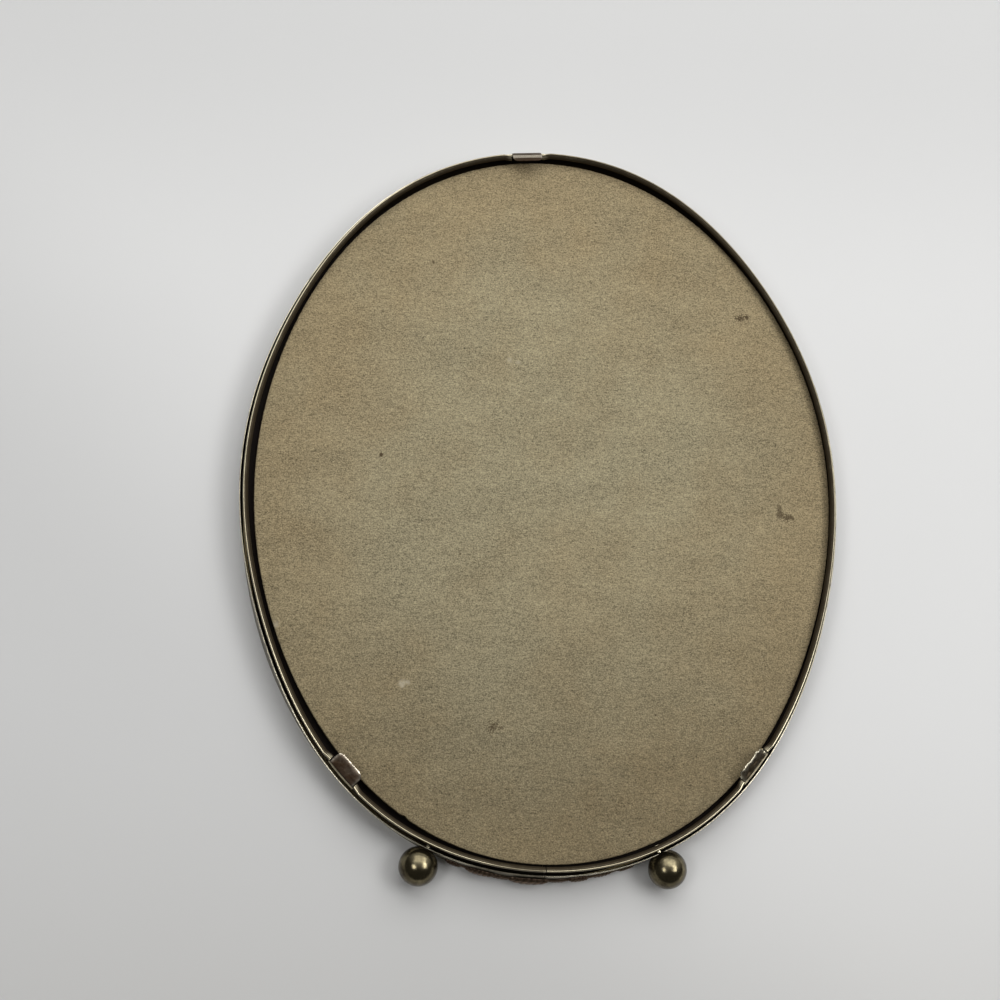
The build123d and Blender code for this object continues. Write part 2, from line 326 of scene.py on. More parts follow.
def glassFinish():
    finish = Finish("oldGlass", IOR=1.5, Transmission_Weight=1.0, Alpha=0.3)
    smear = finish.noise(60, 3, 0.6)
    color = finish.mix(smear, (0.95, 0.985, 0.97), (0.92, 0.96, 0.94))
    return finish.feed(Base_Color=color, Roughness=0.02 + smear.rise(0.5, 0.9) * 0.06)


finishes = {
    "board": chipboardFinish(), "card": cardFinish(), "glass": glassFinish(),
    "rim": brassFinish(
        "agedBrass", (0.68, 0.61, 0.43), (0.054, 0.040, 0.020), (0.18, 0.45), spots=0.4, pits=0.2),
    "hoop": brassFinish(
        "bandBrass", (0.82, 0.76, 0.59), (0.060, 0.044, 0.023), (0.22, 0.5), spots=0.45, pits=0.3),
    "tab": brassFinish(
        "tabBrass", (0.70, 0.62, 0.50), (0.066, 0.038, 0.020), (0.24, 0.5), spots=0.25, pits=0.4,
        crust=0.1),
    "ball": brassFinish(
        "ballBrass", (0.33, 0.285, 0.175), (0.040, 0.030, 0.015), (0.12, 0.38), spots=1.0, pits=1.0,
        crust=0.05),
    "garland": brassFinish(
        "garlandCopper", (0.22, 0.155, 0.105), (0.024, 0.015, 0.009), (0.28, 0.6), spots=0.6,
        pits=0.6, tint=(0.07, 0.032, 0.02)),
    "gilt": brassFinish(
        "giltBrass", (0.62, 0.50, 0.27), (0.13, 0.095, 0.045), (0.22, 0.5), spots=0.4, pits=0.4),
}
print("finishes made:", len(finishes))


def smoothAll(mesh):
    mesh.polygons.foreach_set("use_smooth", [True] * len(mesh.polygons))


def newPiece(name, verts, faces, finish, **attributes):
    mesh = bpy.data.meshes.new(name)
    mesh.from_pydata([tuple(v) for v in verts], [], faces)
    for key, values in attributes.items():
        mesh.attributes.new(key, "FLOAT", "POINT").data.foreach_set("value", values)
    work = bmesh.new()
    work.from_mesh(mesh)
    bmesh.ops.remove_doubles(work, verts=work.verts, dist=1e-7)
    bmesh.ops.recalc_face_normals(work, faces=work.faces)
    work.to_mesh(mesh)
    work.free()
    smoothAll(mesh)
    mesh.materials.append(finish)
    return addObject(name, mesh)


def creaseAt(piece, degrees):
    # edges sharper than this stay crisp under smooth shading
    mesh = piece.data
    work = bmesh.new()
    work.from_mesh(mesh)
    for edge in work.edges:
        if len(edge.link_faces) == 2 and edge.calc_face_angle(0) > math.radians(degrees):
            edge.smooth = False
    work.to_mesh(mesh)
    work.free()


def place(piece, body, slotName, *nodes):
    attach(piece, body)
    if nodes:
        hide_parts(*nodes)


def sweepRound(name, turns, profileAt, finish, closed=True):
    # a strip round the oval: profileAt(turn) gives (out, height, worn, tarnish and painted shade)
    # round its section
    verts, faces, worn, tarnish = [], [], [], []
    for turn in turns:
        for out, height, bright, dull in profileAt(turn):
            verts.append(ovalPoint(turn, out, height))
            worn.append(bright)
            tarnish.append(dull)
    count = len(turns)
    size = len(verts) // count
    for index in range(count if closed else count - 1):
        here, after = index * size, (index + 1) % count * size
        for side in range(size):
            up = (side + 1) % size
            faces.append((here + side, after + side, after + up, here + up))
    if not closed:
        faces.append(tuple(range(size)))
        faces.append(tuple((count - 1) * size + side for side in reversed(range(size))))
    return newPiece(name, verts, faces, finish, worn=worn, tarnish=tarnish)


def shellFaces(base, rows, columns):
    # a closed thin shell: two layers of (rows + 1) times (columns + 1) points, and its four rims
    layerSize = (rows + 1) * (columns + 1)

    def at(layer, row, column):
        return base + layer * layerSize + row * (columns + 1) + column

    def wall(spot, after):
        return [at(0, *spot), at(0, *after), at(1, *after), at(1, *spot)]

    faces = []
    for row in range(rows):
        for column in range(columns):
            quad = [(row, column), (row, column + 1), (row + 1, column + 1), (row + 1, column)]
            faces.append([at(0, *spot) for spot in quad])
            faces.append([at(1, *spot) for spot in reversed(quad)])
        faces += [wall((row, column), (row + 1, column)) for column in (0, columns)]
    for column in range(columns):
        faces += [wall((row, column), (row, column + 1)) for row in (0, rows)]
    return faces


tabs = {
    "sheet": 0.5, "corner": 1.9, "height": 11.1, "root": 1.95, "gap": 0.4,
    "rows": 24, "columns": 36,
    # lift at the root and how much more the leaf curls up to its tip, in degrees; reach, bulge and
    # crumple in mm; dull: (share of the way to the tip, tarnish and painted shade); edge: how bright
    # its edges
    # top tab: painted highlight, a bright band from 0.44 to 0.66 of the way to the tip, between a root
    # and a tip darkened as painted shade
    "top": {
        "turn": 183.9, "width": 10.6, "lift": 37.0, "reach": 5.0, "curl": -8.0, "bulge": 0.15,
        "crumple": 0.05, "edge": 0.1,
        "dull": ((0, 1.1), (0.34, 1.1), (0.44, 0), (0.66, 0), (0.76, 1.2), (1, 1.3))},
    "left": {
        "turn": -40.7, "width": 11.0, "lift": 22.0, "reach": 5.0, "curl": 4.0, "bulge": 0.08,
        "crumple": 0.07, "edge": 1.0, "dull": ((0, 1.15), (1, 1.08))},
    "right": {
        "turn": 43.7, "width": 12.4, "lift": 24.0, "reach": 4.3, "curl": 34.0, "bulge": 0.0,
        "crumple": 0.5, "edge": 0.9, "dull": ((0, 1.1), (1, 1.15))},
}
tabTurns = {side: math.radians(tabs[side]["turn"]) for side in ("top", "left", "right")}


def slitHalf(side):
    return tabs[side]["width"] / 2 + tabs["gap"]


def mmFromSlit(turn):
    # distance along the rim to the end of the nearest slit, in mm, below zero inside it
    ends = []
    for side, middle in tabTurns.items():
        away = (turn - middle + math.pi) % fullTurn - math.pi
        ends.append(abs(away) * mmPerTurn(middle) - slitHalf(side))
    return min(ends)


rim = {
    "seam": 0.3, "stations": 760,
    # heights between which the strip goes out of true, and how far it is drawn in
    "bends": (3.7, 9.0), "drawnIn": 0.1,
    # in a slit the fold is gone above the floor; beside it the fold curls in and down
    "slitFloor": 10.6, "wall": 1.7, "slitLook": (0.2, 0.9), "slitSteps": 9, "slitStep": 0.35,
    "foldLow": 10.5, "curl": {"reach": 3.2, "inward": 0.55, "down": 0.25, "from": (0.3, 1.6)},
    # painted shade: where the crest is made duller on the sides that catch less light, from where to
    # where it fades in and out, in degrees, and how much
    "shadedSpans": (
        (-13.0, -7.0, -0.2, 0.0, 1.0), (50.0, 72.0, 180.0, 181.0, 1.0),
        (-181.0, -180.0, -95.0, -60.0, 0.75)),
    # out, height, worn, tarnish with painted shade (over 1: near black in the gaps), once round the
    # strip's section
    "section": [
        (-8.5, 3.2, 0, 1.2), (1.95, 3.2, 0, 1.2), (2.2, 3.45, 0, 1.1), (2.2, 9.2, 0, 1.5),
        (2.2, 11.55, 0, 1.0), (2.18, 11.85, 0, 1.1), (2.12, 12.06, 0, 0.9), (2.03, 12.2, 0.7, 0.2),
        (1.90, 12.28, 1.0, 0), (1.77, 12.27, 0.6, 0.4), (1.64, 12.22, 0, 1.15),
        (1.42, 12.1, 0, 1.45), (1.24, 11.99, 0.1, 1.0), (1.08, 11.88, 0, 1.4),
        (0.9, 11.75, 0, 1.15), (0.72, 11.6, 0, 1.4), (0.54, 11.4, 0, 1.4), (0.42, 11.2, 0.05, 1.15),
        (0.42, 11.02, 0, 1.3), (0.56, 10.94, 0, 1.5), (1.55, 10.97, 0, 1.6), (1.7, 10.8, 0, 1.5),
        (1.7, 3.85, 0, 1.5), (1.55, 3.7, 0, 2), (-8.5, 3.7, 0, 2),
    ],
}


def seamTurns(strip):
    # the stations of a strip that leaves a gap for its seam at the bottom
    start, last = strip["seam"] / 2 / mmPerTurn(0), strip["stations"] - 1
    return [start + (fullTurn - 2 * start) * step / last for step in range(last + 1)]


def paintedShadeAt(turn, spans):
    # painted shade at a turn: how much shine is taken, the most that one of the shaded stretches takes
    degrees = math.degrees(math.remainder(turn, fullTurn))
    return max(
        amount * ease(start, full, degrees) * (1 - ease(last, end, degrees))
        for start, full, last, end, amount in spans)


def rimSection(turn):
    curl = rim["curl"]
    away = mmFromSlit(turn)
    curled = 1 - ease(0, curl["reach"], away) if away > 0 else 0
    share = paintedShadeAt(turn, rim["shadedSpans"])
    section = []
    for out, height, worn, tarnish in rim["section"]:
        shift = (waveAt(turn, oval["waves"]) - rim["drawnIn"]) * ease(*rim["bends"], height)
        if away <= 0 and height > rim["slitFloor"]:
            section.append((max(out, rim["wall"]) + shift, rim["slitFloor"], *rim["slitLook"]))
            continue
        if height > rim["foldLow"]:
            shift -= curl["inward"] * curled
            worn = min(1, worn + curled * 0.6)
            height = height - curl["down"] * curled * ease(*curl["from"], out)
        # painted shade: on the shaded spans the crest loses its wear and gains tarnish
        crestShade = share * ease(11.5, 12.2, height)
        tarnish += 0.7 * crestShade * worn
        section.append((out + shift, height, worn * (1 - 0.8 * crestShade), tarnish))
    return section


def rimTurns():
    # even stations, and close ones where a slit ends and the fold beside it curls
    turns = seamTurns(rim)
    steps = [step * rim["slitStep"] for step in range(1, rim["slitSteps"] + 1)]
    for name, middle in tabTurns.items():
        edges = [slitHalf(name) + step for step in (-0.01, 0.01, *steps)]
        for side in (-1, 1):
            turns += [(middle + side * edge / mmPerTurn(middle)) % fullTurn for edge in edges]
    return sorted(turns)


rimStrip = sweepRound("rimStrip", rimTurns(), rimSection, finishes["rim"], closed=False)
creaseAt(rimStrip, 50)
place(rimStrip, "root", "aged_brass", "back_rim")
print("rim made")

hoop = {
    "seam": 0.3, "stations": 900, "bends": (3.0, 9.0),
    # small dents in the crisp back edge, about 5 mm apart
    "nicks": {"seed": 8, "radius": 118, "perMm": 0.42, "above": 0.25, "depth": 0.55,
              "from": (7.6, 8.9), "inward": 0.25},
    # painted shade: where the back edge is made duller on the sides that catch less light, as on the
    # rim
    "shadedSpans": (
        (-17.0, -12.0, -0.5, 2.0, 1.0), (-150.0, -130.0, -62.0, -45.0, 0.6),
        (38.0, 62.0, 160.0, 175.0, 0.75)),
    # out, height, worn, tarnish with painted shade (over 1: near black on the inner face in the gap)
    "section": [
        (2.95, 0.0, 0, 1.0), (3.12, 0.0, 0.6, 0.3), (3.36, 0.12, 0.7, 0.2), (3.45, 0.35, 0.6, 0.2),
        (3.45, 0.8, 0.3, 0.3), (3.36, 1.0, 0, 1.1), (3.34, 1.4, 0, 0.98), (3.34, 6.9, 0, 0.95),
        (3.36, 7.3, 0, 1.1), (3.45, 7.5, 0.3, 0.6), (3.45, 8.62, 0.5, 0.3), (3.43, 8.82, 1, 0),
        (3.37, 8.94, 1, 0), (3.27, 8.99, 1, 0), (3.13, 8.99, 1, 0), (3.03, 8.93, 0.7, 0.3),
        (2.97, 8.8, 0, 1.1), (2.95, 8.0, 0, 2),
    ],
}


def hoopSection(turn):
    nicks, section = hoop["nicks"], []
    spot = Vector((turn * nicks["radius"] * nicks["perMm"], nicks["seed"], 0))
    nick = max(0.0, noise.noise(spot) - nicks["above"]) * nicks["depth"]
    share = paintedShadeAt(turn, hoop["shadedSpans"])
    for out, height, worn, tarnish in hoop["section"]:
        shift = waveAt(turn, oval["waves"]) * ease(*hoop["bends"], height)
        dent = nick * ease(*nicks["from"], height)
        # nicks are made darker, and the shaded spans get painted shade
        nickDarkAndShade = min(1, dent * 2 + 0.9 * share)
        tarnish = max(tarnish, min(1, tarnish + nickDarkAndShade))
        out += shift - dent * nicks["inward"]
        section.append((out, height - dent, max(0, worn - nickDarkAndShade), tarnish))
    return section


outerHoop = sweepRound("outerHoop", seamTurns(hoop), hoopSection, finishes["hoop"], closed=False)
creaseAt(outerHoop, 50)
place(outerHoop, "root", "aged_brass", "outer_band")
print("hoop made")

board = {
    "shift": (0.92, 0.56), "stations": 1200, "thick": 2.2, "drawnIn": 0.45,
    # hand-cut edge: waves round the oval, size in mm, turn in degrees
    "waves": [(2, 0.30, 144), (3, 0.28, -5), (4, 0.20, 84), (5, 0.19, 171), (6, 0.22, -144)],
    "notch": {"turn": -28.0, "width": 0.8, "depth": 0.45},
    # finer unevenness: size in mm, and how closely it follows along the edge
    "ragged": (0.10, 95), "fuzz": (0.06, 330),
}
stack = {
    "card": {"pull": -1.7, "low": 5.7, "high": 6.1},
    "glass": {"pull": -1.9, "low": 3.7, "high": 5.7},
    "stations": 300, "chamfer": (0.2, 0.15),
}


def boardEdge(turn, height):
    # how far outside the nominal oval the hand-cut edge lies, in mm
    wave = waveAt(turn, board["waves"]) - board["drawnIn"]
    notchTurn = math.radians(board["notch"]["turn"])
    away = math.remainder(turn - notchTurn, fullTurn) * mmPerTurn(notchTurn)
    nick = board["notch"]["depth"] * math.exp(-(away / board["notch"]["width"]) ** 2)
    (raggedSize, raggedClose), (fuzzSize, fuzzClose) = board["ragged"], board["fuzz"]
    ragged = raggedSize * noise.noise(Vector((turn * raggedClose, 2.0, 3)))
    fuzz = fuzzSize * noise.noise(Vector((turn * fuzzClose, height * 2, 7)))
    return wave + ragged + fuzz - nick


def makeDisc(name, rows, count, edgeAt, finish):
    # an oval disc: rows of (share of the way out, pull outward in mm, height), back to front
    verts, faces = [], []
    aside = Vector((*board["shift"], 0)) * mm
    for share, pull, height in rows:
        middle = Vector((0, oval["middle"], height)) * mm
        for index in range(count):
            turn = fullTurn * index / count
            point = ovalPoint(turn, edgeAt(turn, height) + pull, height)
            verts.append(middle + (point - middle) * share + aside)
    for row in range(len(rows) - 1):
        here, below = row * count, (row + 1) * count
        for index in range(count):
            after = (index + 1) % count
            faces.append((here + index, here + after, below + after, below + index))
    for start, height in ((0, rows[0][2]), ((len(rows) - 1) * count, rows[-1][2])):
        verts.append(Vector((0, oval["middle"], height)) * mm + aside)
        hub = len(verts) - 1
        faces += [(start + index, start + (index + 1) % count, hub) for index in range(count)]
    piece = newPiece(name, verts, faces, finish)
    creaseAt(piece, 40)
    return piece


def makeBoard():
    top = oval["boardBack"]
    low = top - board["thick"]
    rows = [(0.3, 0, top), (0.6, 0, top), (0.9, 0, top), (0.99, 0, top), (1, -0.35, top - 0.01)]
    rows += [(1, -0.12, top - 0.1), (1, 0, top - 0.35), (1, 0, low + 0.3), (1, -0.15, low)]
    rows += [(0.97, 0, low), (0.6, 0, low)]
    disc = makeDisc("boardBack", rows, board["stations"], boardEdge, finishes["board"])
    place(disc, "root", "chipboard", "backing_board")


def makePane(key, node, slotName):
    pull, low, high = (stack[key][size] for size in ("pull", "low", "high"))
    inward, down = stack["chamfer"]
    rows = [(0.9, 0, high), (1, -inward, high), (1, 0, high - down)]
    rows += [(1, 0, low + down), (1, -inward, low), (0.9, 0, low)]
    disc = makeDisc(key + "Pane", rows, stack["stations"], lambda turn, height: pull, finishes[key])
    place(disc, "root", slotName, node)


makeBoard()
makePane("card", "picture_card", "bare_card")
makePane("glass", "glass", "clear_glass")
print("board, card and glass made")


def makeTab(side):
    # a bent tongue of sheet with two round corners: rows run from the slit to the tip
    own, corner, rows, columns = tabs[side], tabs["corner"], tabs["rows"], tabs["columns"]
    turn, lift, curl = tabTurns[side], math.radians(own["lift"]), math.radians(own["curl"])
    out = outwardAt(turn, tabs["root"])
    along = Vector((-out.y, out.x, 0))
    spine = ovalPoint(turn, tabs["root"], tabs["height"])
    length, half, thick = own["reach"], own["width"] / 2, tabs["sheet"] / 2
    verts, worn, tarnish = [], [], []
    for layer in (1, -1):
        center = spine.copy()
        for row in range(rows + 1):
            share = row / rows
            reach = length * share
            slope = lift + curl * share
            inward = Vector((0, 0, math.sin(slope))) - out * math.cos(slope)
            face = Vector((0, 0, math.cos(slope))) + out * math.sin(slope)
            if row:
                center += inward * length / rows * mm
            cut = reach - (length - corner)
            pinch = corner - math.sqrt(max(0.0, corner ** 2 - cut * cut)) if cut > 0 else 0.0
            dull = own["dull"][0][1]
            for (start, before), (end, after) in zip(own["dull"], own["dull"][1:]):
                dull += (after - before) * ease(start, end, share)
            for column in range(columns + 1):
                aside = column / columns * 2 - 1
                across = aside * (half - pinch)
                crease = noise.noise(Vector((across * 0.55, reach * 0.7, 3 + own["turn"])))
                crease += 0.5 * noise.noise(Vector((across * 1.6, reach * 1.1, own["turn"])))
                swell = own["bulge"] * math.sin(math.pi * share ** 0.7)
                swell += own["crumple"] * crease * ease(0, 0.3, share)
                border = max(abs(aside) ** 14, share ** 12)  # 1 at the edges, 0 a little inside
                height = layer * thick * (1 - 0.4 * border) + swell
                verts.append(center + (along * across + face * height) * mm)
                worn.append(own["edge"] * (1.0 if row >= rows - 1 else 0.9 * abs(aside) ** 22))
                tarnish.append(dull * (1 - 0.8 * border * own["edge"]))
    finish, faces = finishes["hoop" if side == "right" else "tab"], shellFaces(0, rows, columns)
    name = f"tab{side.capitalize()}"
    piece = newPiece(name, verts, faces, finish, worn=worn, tarnish=tarnish)
    creaseAt(piece, 55)
    place(piece, f"tab_{side}", "copper_brass", f"tab_{side}")


for side in tabTurns:
    makeTab(side)
print("tabs made")

ball = {
    "radius": 6.35, "flat": 0.45, "height": 6.4, "turn": 21.7, "seat": 3.45,
    "rings": 40, "spokes": 64,
    # tarnish: everywhere, and more near the seat; painted shade makes the sides, which face less
    # upward, darker
    "dull": 0.45, "seatDull": 0.25, "sideShade": 0.5,
}


def makeBall(side, sign):
    radius, rings, spokes = ball["radius"], ball["rings"], ball["spokes"]
    turn = math.radians(ball["turn"]) * sign
    out = outwardAt(turn, ball["seat"])
    seat = ovalPoint(turn, ball["seat"], ball["height"])
    middle = seat + out * (radius - ball["flat"]) * mm
    along, up = Vector((-out.y, out.x, 0)), Vector((0, 0, 1))
    start = math.acos((radius - ball["flat"]) / radius)
    verts, faces, tarnish = [seat], [], [1.0]
    for ring in range(rings):
        angle = start + (math.pi - start) * ring / rings
        for spoke in range(spokes):
            around = fullTurn * spoke / spokes
            aside = along * math.cos(around) + up * math.sin(around)
            facing = aside * math.sin(angle) - out * math.cos(angle)
            verts.append(middle + facing * radius * mm)
            dull = ball["seatDull"] * (1 - ease(start, start + 0.6, angle)) + ball["dull"]
            # painted shade: the sides, which face less upward, are made darker
            tarnish.append(dull + ball["sideShade"] * (1 - ease(0.45, 0.85, facing.z)))
    verts.append(middle + out * radius * mm)
    tarnish.append(ball["dull"] + ball["sideShade"])
    tip, last = len(verts) - 1, 1 + (rings - 1) * spokes
    for spoke in range(spokes):
        after = (spoke + 1) % spokes
        faces.append((0, 1 + spoke, 1 + after))
        for low in range(1, last, spokes):
            high = low + spokes
            faces.append((low + spoke, high + spoke, high + after, low + after))
        faces.append((last + spoke, tip, last + after))
    name, worn = f"ballFoot{side.capitalize()}", [0.0] * len(verts)
    piece = newPiece(name, verts, faces, finishes["ball"], worn=worn, tarnish=tarnish)
    creaseAt(piece, 40)
    place(piece, "root", "polished_brass", f"foot_{side}")


makeBall("left", -1)
makeBall("right", 1)
print("feet made")

garland = {
    "length": 14.0, "halfWidth": 3.0, "relief": 1.6, "height": 6.8, "columns": 44, "rows": 22,
    "seat": 3.36, "back": 3.15, "band": (0.2, 8.7),
    "leaves": [  # turn in degrees, length, half width, relief and height as shares, tilt in degrees
        (-2.6, 1.00, 1.00, 1.00, 0.52, 4.0), (-8.0, 0.62, 0.70, 0.60, 0.34, -14.0),
        (-11.6, 0.74, 0.80, 0.85, 0.56, 12.0), (-16.4, 0.44, 0.56, 0.62, 0.42, -10.0),
        (2.9, 0.46, 0.60, 0.55, 0.36, 16.0), (6.6, 0.56, 0.72, 0.78, 0.58, -12.0),
        (11.0, 0.54, 0.66, 0.62, 0.38, 14.0), (15.4, 0.48, 0.58, 0.70, 0.54, -10.0),
    ],
    "stem": {"turn": 17.5, "low": 2.6, "high": 4.2, "reach": 0.6, "stations": 40, "sides": 6},
}


def leafPoint(leaf, lengthwise, sideways):
    # one point of a veined, lobed leaf on the band, and how deep in a vein it lies
    turn, length, halfWidth, relief, height, tilt = leaf
    turn, tilt = math.radians(turn), math.radians(tilt)
    taper = max(0.0, 1 - abs(lengthwise) ** 2.2) ** 0.75
    lobes = 0.80 + 0.20 * abs(math.cos(math.pi * 3.5 * lengthwise))
    half = max(0.12, garland["halfWidth"] * halfWidth * taper * lobes)
    swell = max(0.0, 1 - sideways * sideways) ** 0.55 * max(0.0, 1 - abs(lengthwise) ** 3) ** 0.5
    rise = garland["relief"] * relief * swell
    midrib = math.exp(-(sideways * half / 0.28) ** 2)
    wave = math.sin(fullTurn * (3.2 * lengthwise - 1.1 * abs(sideways)))
    veins = (0.5 + 0.5 * wave) ** 3
    rise -= min(rise, 0.30 * midrib * swell + 0.22 * veins * swell * (1 - midrib))
    x, y = lengthwise * garland["length"] * length / 2, sideways * half
    along = x * math.cos(tilt) - y * math.sin(tilt)
    up = garland["height"] * height + x * math.sin(tilt) + y * math.cos(tilt)
    low, high = garland["band"]
    turn += along / mmPerTurn(turn, garland["seat"])
    return turn, rise, min(high, max(low, up)), max(midrib, veins * 0.8)


def makeGarland():
    verts, faces, worn, tarnish = [], [], [], []
    columns, rows = garland["columns"], garland["rows"]
    for leaf in garland["leaves"]:
        faces += shellFaces(len(verts), columns, rows)
        for front in (True, False):
            for column in range(columns + 1):
                for row in range(rows + 1):
                    spot = (column / columns * 2 - 1, row / rows * 2 - 1)
                    turn, rise, up, vein = leafPoint(leaf, *spot)
                    out = garland["seat"] + rise if front else garland["back"]
                    verts.append(ovalPoint(turn, out, up))
                    worn.append(0.5 * ease(0.6, 1.3, rise) * (1 - vein))
                    tarnish.append(0.55 + 0.6 * vein)
    finish = finishes["garland"]
    piece = newPiece("leafGarland", verts, faces, finish, worn=worn, tarnish=tarnish)
    creaseAt(piece, 60)
    place(piece, "root", "copper_brass", "bottom_garland")


def stemSection(turn):
    # a round stem that thins out to both ends
    stem, back = garland["stem"], garland["back"]
    middle, half = (stem["low"] + stem["high"]) / 2, (stem["high"] - stem["low"]) / 2
    share = abs(math.remainder(turn, fullTurn) / math.radians(stem["turn"]))
    thin = math.sqrt(max(0.02, 1 - share ** 4))
    section = [(back, middle - half * thin, 0, 1.0), (back, middle + half * thin, 0, 1.0)]
    for step in range(stem["sides"] + 1):
        angle = math.pi * step / stem["sides"]
        out = garland["seat"] + stem["reach"] * math.sin(angle) * thin
        height = middle + half * thin * math.cos(angle)
        section.append((out, height, 0.3 * math.sin(angle), 0.7))
    return section


def makeStem():
    end, count = math.radians(garland["stem"]["turn"]), garland["stem"]["stations"]
    turns = [end * (step / count * 2 - 1) for step in range(count + 1)]
    piece = sweepRound("garlandStem", turns, stemSection, finishes["garland"], closed=False)
    place(piece, "root", "copper_brass")


makeGarland()
makeStem()
print("garland made")

border = {
    "repeats": 36, "outside": 2.95, "inside": -5.0, "sheet": 0.6, "setBack": 0.35, "wire": 0.26,
    # leaf openings of one repeat: length, width and spread as shares, tilt in degrees
    "leafLength": 0.36, "leafWidth": 0.32, "leafSpread": 0.2, "leafTilt": 38.0,
    "drop": (0.5, 0.22), "pearl": (0.28, 0.2), "pearlSteps": 16,
    # pearls on both sides of a repeat's middle: share of the pitch aside, up, radius, tall
    "dots": [(0.34, -0.62, 0.52, 0.30), (0.42, 2.75, 0.42, 0.28), (0.12, -2.75, 0.42, 0.28)],
    # the flower where the two leaves meet: how far up, its ring of petals, radius and tall of each
    "flower": {"up": 2.35, "petals": 5, "ring": 0.62, "petal": (0.40, 0.30), "heart": (0.38, 0.34)},
    "edgePearls": 420, "edgePearlSize": 0.34, "outerPearls": -0.85, "innerPearls": 1.05,
}
bead = {
    "out": -8.2, "pearls": 388, "pearlSize": 0.8, "pearlHeight": 0.5, "low": 2.1, "high": 2.6,
    "wireHalf": 0.72, "stations": 360,
}


class Growth(NodeBench):
    # a Geometry Nodes tree with named inputs, grown into a plain mesh
    def __init__(self, name, **sizes):
        super().__init__(bpy.data.node_groups.new(name, "GeometryNodeTree"))
        self.name, self.sizes, self.sockets = name, sizes, {}
        self.addSocket("Geometry", "INPUT", "Geometry")
        for key, size in sizes.items():
            kind = "Int" if isinstance(size, int) else "Float"
            if isinstance(size, bpy.types.Object):
                kind = "Object"
            self.sockets[key] = self.addSocket(key, "INPUT", kind).identifier
        self.addSocket("Geometry", "OUTPUT", "Geometry")
        self.entry = self.tree.nodes.new("NodeGroupInput")

    def addSocket(self, name, side, kind):
        kind = "NodeSocket" + kind
        return self.tree.interface.new_socket(name, in_out=side, socket_type=kind)

    def input(self, key):
        wanted = self.sockets[key]
        return Signal(self, next(out for out in self.entry.outputs if out.identifier == wanted))

    def evenOval(self, height, fine=1440):
        # evenly spaced points round an oval, and the turn that follows it
        ring = self.node("GeometryNodeCurvePrimitiveCircle", {"Resolution": fine, "Radius": 1.0})
        halves = {0: self.input("Half Width"), 1: self.input("Half Height"), 2: 1.0}
        spread = self.node("ShaderNodeCombineXYZ", halves)
        spot = (0, oval["middle"] * mm, height * mm)
        moved = {"Geometry": ring, "Translation": spot, "Scale": spread}
        ring = self.node("GeometryNodeTransform", moved)
        even = {"Curve": ring, "Count": self.input("Count")}
        even = self.node("GeometryNodeResampleCurve", even)
        heading = {"Vector": self.node("GeometryNodeInputTangent")}
        return even, self.node("FunctionNodeAlignRotationToVector", heading, axis="X")

    def grow(self, shape, finish):
        # realized, given its finish and turned into a plain mesh
        shape = self.node("GeometryNodeRealizeInstances", {"Geometry": shape})
        shape = self.node("GeometryNodeSetMaterial", {"Geometry": shape, "Material": finish})
        leave = self.tree.nodes.new("NodeGroupOutput")
        self.tree.links.new(shape.socket, leave.inputs[0])
        piece = addObject(self.name, bpy.data.meshes.new(self.name + "Seed"))
        growth = piece.modifiers.new(self.name, "NODES")
        growth.node_group = self.tree
        for key, size in self.sizes.items():
            growth[self.sockets[key]] = size
        grown = bpy.context.evaluated_depsgraph_get()
        mesh = bpy.data.meshes.new_from_object(piece.evaluated_get(grown), depsgraph=grown)
        piece.modifiers.remove(growth)
        piece.data = mesh
        smoothAll(mesh)
        return piece


def setDull(piece, worn, tarnish):
    # one wear and one tarnish over a whole piece
    for key, level in (("worn", worn), ("tarnish", tarnish)):
        layer = piece.data.attributes.new(key, "FLOAT", "POINT")
        layer.data.foreach_set("value", [level] * len(piece.data.vertices))


def makePearlRow(name, out, height, count, radius, tall):
    growth = Growth(name, **{
        "Half Width": (oval["halfWidth"] + out) * mm, "Half Height": (oval["halfHeight"] + out) * mm,
        "Count": count, "Pearl Radius": radius * mm, "Pearl Height": tall * mm})
    even, follow = growth.evenOval(height)
    pearl = growth.node("GeometryNodeMeshIcoSphere", {"Radius": 1.0, "Subdivisions": 2})
    wide, tall = growth.input("Pearl Radius"), growth.input("Pearl Height")
    size = growth.node("ShaderNodeCombineXYZ", {0: wide, 1: wide, 2: tall})
    row = growth.node("GeometryNodeInstanceOnPoints", {
        "Points": even, "Instance": pearl, "Rotation": follow, "Scale": size})
    piece = growth.grow(row, finishes["gilt"])
    setDull(piece, 0.25, 0.35)
    return piece


def makeSightBead():
    # pearls on a flat wire, seated on the flange round the opening
    out, low, high, half = bead["out"], bead["low"], bead["high"], bead["wireHalf"]
    sizes = (bead["pearls"], bead["pearlSize"], bead["pearlHeight"])
    place(makePearlRow("sightPearls", out, low, *sizes), "root", "gilt_brass", "sight_bead")
    section = [
        (out - half, low, 0, 0.9), (out + half, low, 0, 0.9),
        (out + half, high, 0, 1), (out - half, high, 0, 1)]
    turns = [fullTurn * step / bead["stations"] for step in range(bead["stations"])]
    wire = sweepRound("sightWire", turns, lambda turn: section, finishes["gilt"])
    creaseAt(wire, 30)
    place(wire, "root", "gilt_brass")


def leafOutline(length, width, steps=12):
    # two arcs that meet in points: the edge of a leaf opening
    half, rise = length / 2, width / 2
    radius = (half * half + rise * rise) / (2 * rise)
    reach = math.asin(half / radius)
    turns = [reach * (2 * step / steps - 1) for step in range(steps)]
    side = [(radius * math.sin(turn), radius * math.cos(turn) - (radius - rise)) for turn in turns]
    return side + [(-x, -y) for x, y in side]


